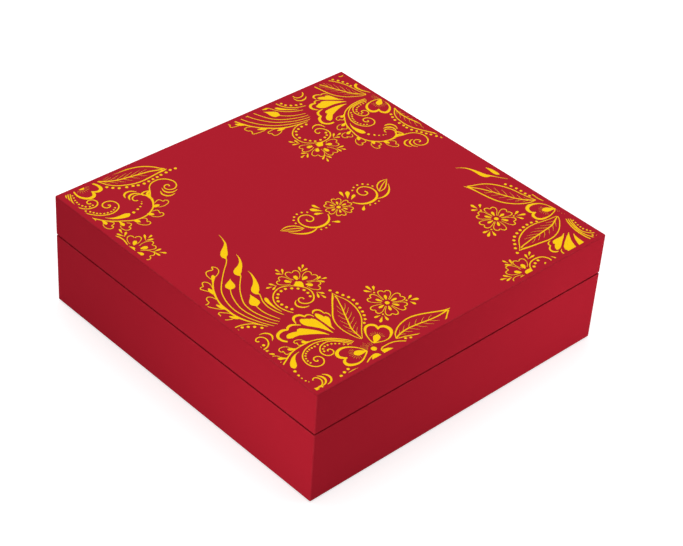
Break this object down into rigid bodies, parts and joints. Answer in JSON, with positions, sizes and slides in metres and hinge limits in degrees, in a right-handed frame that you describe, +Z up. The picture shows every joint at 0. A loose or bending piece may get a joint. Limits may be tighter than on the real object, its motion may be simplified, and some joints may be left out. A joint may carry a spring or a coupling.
{
  "type": "sweet box",
  "caption": "Square rigid paperboard gift box for sweets, closed, with an inner neck, a lift-off lid with walls flush to the base, and slotted dividers inside.",
  "frame": {"origin": "on the table under the middle of the closed box", "axes": "+Z up, the way the lid lifts; -Y is the front, the lower right wall in the picture; +X is to the right seen from the front"},
  "size_m": [0.2, 0.2, 0.0675],
  "materials": {
    "red_wrap_paper": "printed and matt laminated",
    "greyboard": "raw",
    "corner_tape": "kraft",
    "neck_cover": "paper covered",
    "sole_paper": "plain",
    "lid_lining": "plain",
    "greaseproof": "translucent, smooth",
    "gold_card": "metallised laminate",
    "gold_print": "gold ink printed on the lid's red paper"
  },
  "bodies": {
    "base": {"base_back_board": "greyboard", "base_corner_stays": "corner_tape", "base_floor_board": "greyboard", "base_front_board": "greyboard", "base_left_board": "greyboard", "base_right_board": "greyboard", "base_wrap": "red_wrap_paper", "floor_liner": "greaseproof", "lower_divider_1": "gold_card", "lower_divider_2": "gold_card", "neck_back": "neck_cover", "neck_front": "neck_cover", "neck_left": "neck_cover", "neck_right": "neck_cover", "sole_sheet": "sole_paper", "upper_divider_1": "gold_card", "upper_divider_2": "gold_card"},
    "lid": {"lid_back_board": "greyboard", "lid_corner_stays": "corner_tape", "lid_front_board": "greyboard", "lid_left_board": "greyboard", "lid_liner": "lid_lining", "lid_right_board": "greyboard", "lid_top_board": "greyboard", "lid_wrap": "red_wrap_paper"}
  },
  "joints": [
    {"name": "lid_lift", "type": "slide", "parent": "base", "child": "lid", "axis": [0, 0, 1], "range_m": [0, 0.12]}
  ]
}
